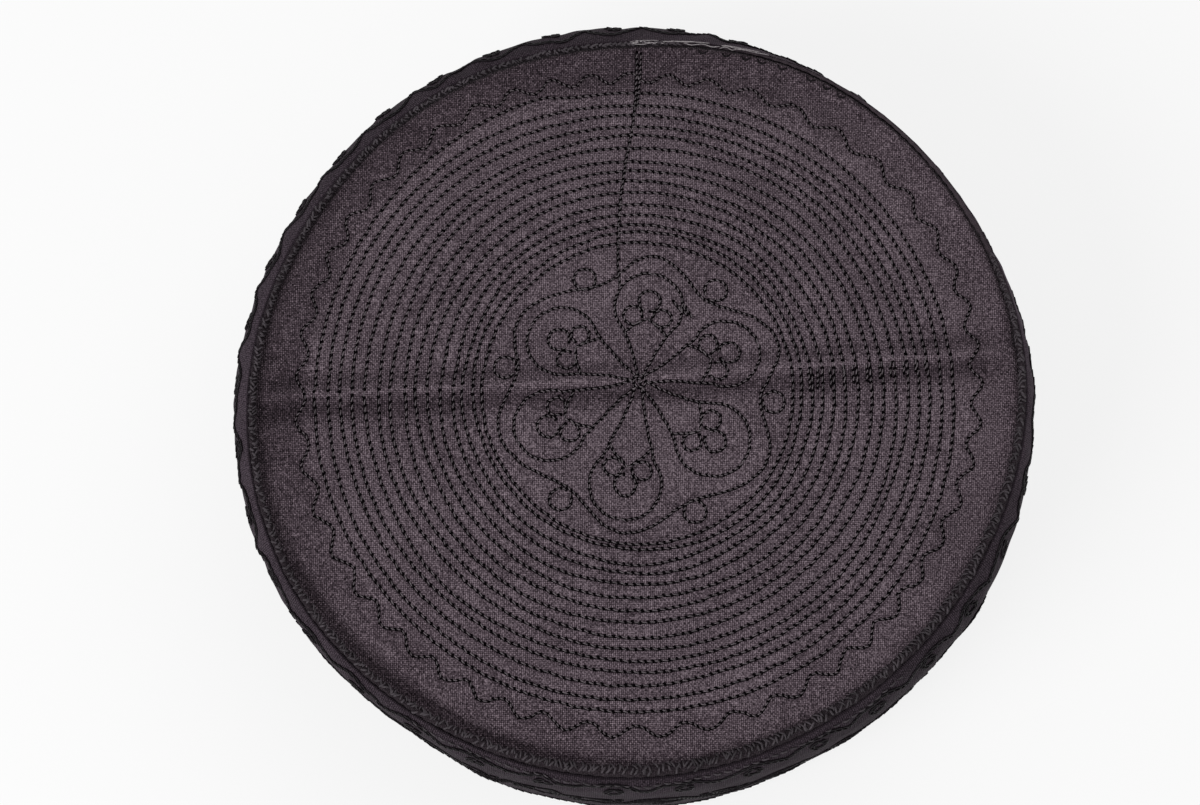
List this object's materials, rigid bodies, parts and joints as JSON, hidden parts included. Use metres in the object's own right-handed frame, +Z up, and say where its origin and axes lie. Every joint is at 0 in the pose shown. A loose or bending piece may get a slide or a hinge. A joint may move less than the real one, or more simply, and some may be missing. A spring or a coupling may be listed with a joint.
{
  "type": "embroidered skullcap",
  "caption": "Round flat-topped skullcap of dark quilted cotton, with an open hollow for the head, a raised stitched edge and an upright band.",
  "frame": {"origin": "middle of the cap's bounding box at the level of the hem", "axes": "+Z up through the crown, -Y towards the viewer's side, +X to the viewer's right"},
  "size_m": [0.1891, 0.1893, 0.078],
  "materials": {
    "crown_cloth": "matt charcoal plain-weave cotton with black running-stitch rings and a rosette",
    "welt_cloth": "charcoal cotton cord over-stitched with black thread",
    "band_cloth": "charcoal cotton with a soft satin sheen and black embroidery"
  },
  "bodies": {
    "root": {"crown": "crown_cloth", "edge_welt": "welt_cloth", "side_band": "band_cloth"}
  },
  "joints": []
}
